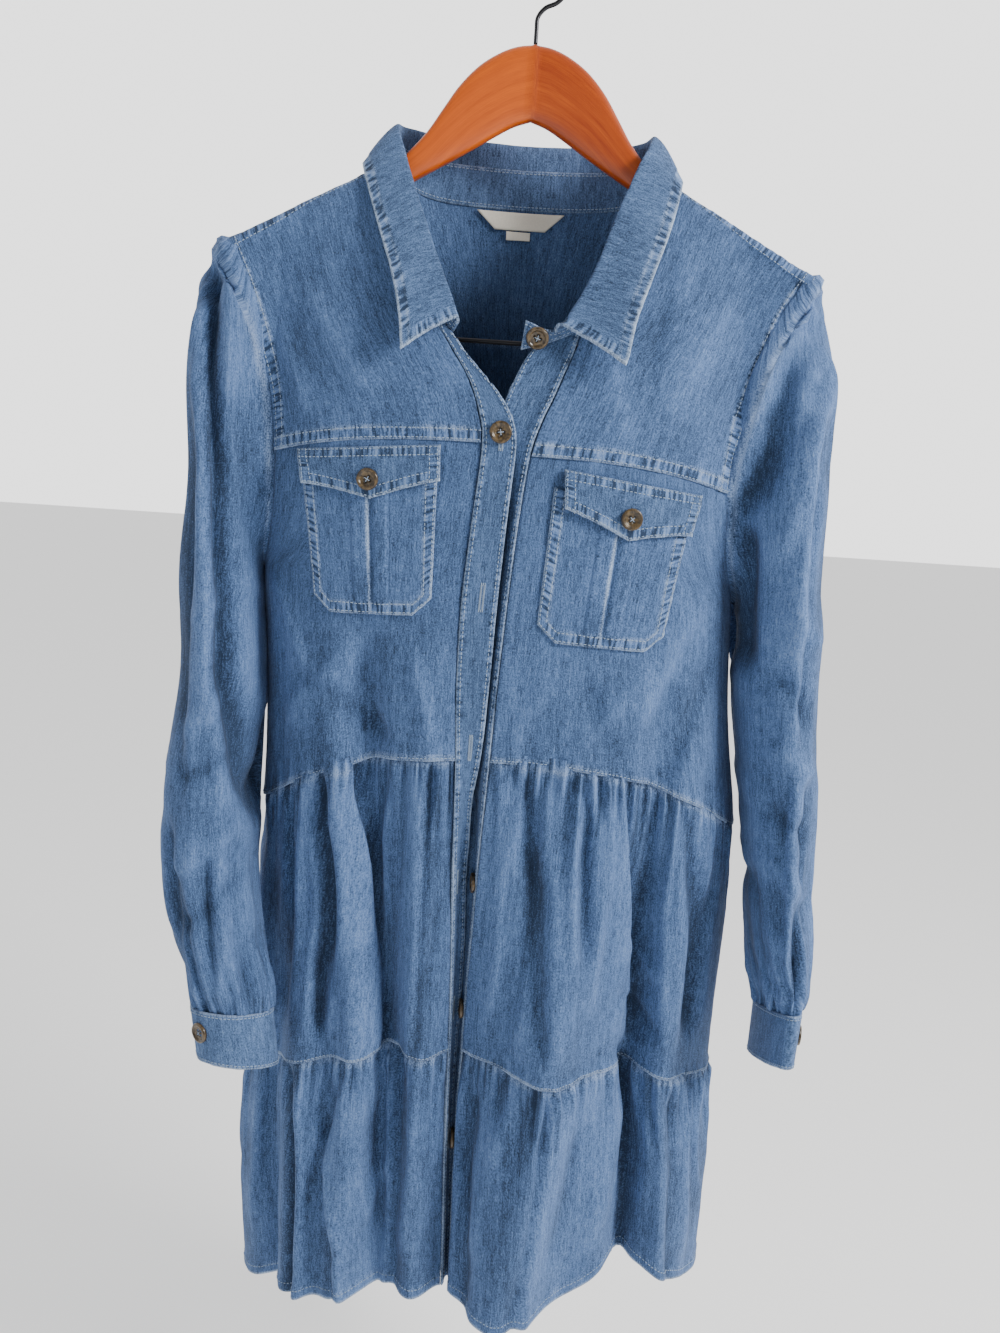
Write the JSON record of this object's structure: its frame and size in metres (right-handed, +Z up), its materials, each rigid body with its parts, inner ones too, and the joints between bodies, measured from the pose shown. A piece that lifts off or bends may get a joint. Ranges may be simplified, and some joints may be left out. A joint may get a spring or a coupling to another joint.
{
  "type": "shirt dress on a hanger",
  "caption": "Long-sleeved tiered denim shirt dress with a collar, chest pockets and a button front, hung open-necked on a contoured wooden hanger",
  "frame": {"origin": "the inside of the hanger hook's top, where it hangs on a rail or peg", "axes": "+Z up, the dress's front faces -Y, and -X is on the left when its front is looked at"},
  "size_m": [0.4963, 0.2387, 1.063],
  "materials": {
    "denim": "soft washed cotton denim, a mid blue with a fine twill",
    "denim_double": "the same denim doubled and pressed, its edges worn paler",
    "horn": "olive-brown horn-look buttons with a raised rim and four holes",
    "cream_label": "plain cream woven ribbon",
    "cherry_wood": "reddish varnished wood, satin",
    "dark_wire": "dark plated steel wire"
  },
  "bodies": {
    "root": {"placket_over": "denim_double", "placket_under": "denim_double", "cuff_left": "denim_double", "cuff_right": "denim_double", "pocket_flap_left": "denim_double", "pocket_flap_right": "denim_double", "collar_fall": "denim_double", "collar_stand": "denim_double", "front_yoke_left": "denim", "front_yoke_right": "denim", "bodice_front_left": "denim", "bodice_front_right": "denim", "bodice_back": "denim", "tier2_front_left": "denim", "tier2_front_right": "denim", "tier2_back": "denim", "tier3_front_left": "denim", "tier3_front_right": "denim", "tier3_back": "denim", "sleeve_left": "denim", "sleeve_right": "denim", "pocket_left": "denim", "pocket_right": "denim", "button_collar": "horn", "button_front_1": "horn", "button_front_2": "horn", "button_front_3": "horn", "button_front_4": "horn", "button_front_5": "horn", "button_front_6": "horn", "button_pocket_left": "horn", "button_pocket_right": "horn", "button_cuff_left": "horn", "button_cuff_right": "horn", "neck_label": "cream_label", "size_tab": "cream_label", "hanger_arms": "cherry_wood", "hanger_hook": "dark_wire", "hanger_bar": "dark_wire"}
  },
  "joints": []
}
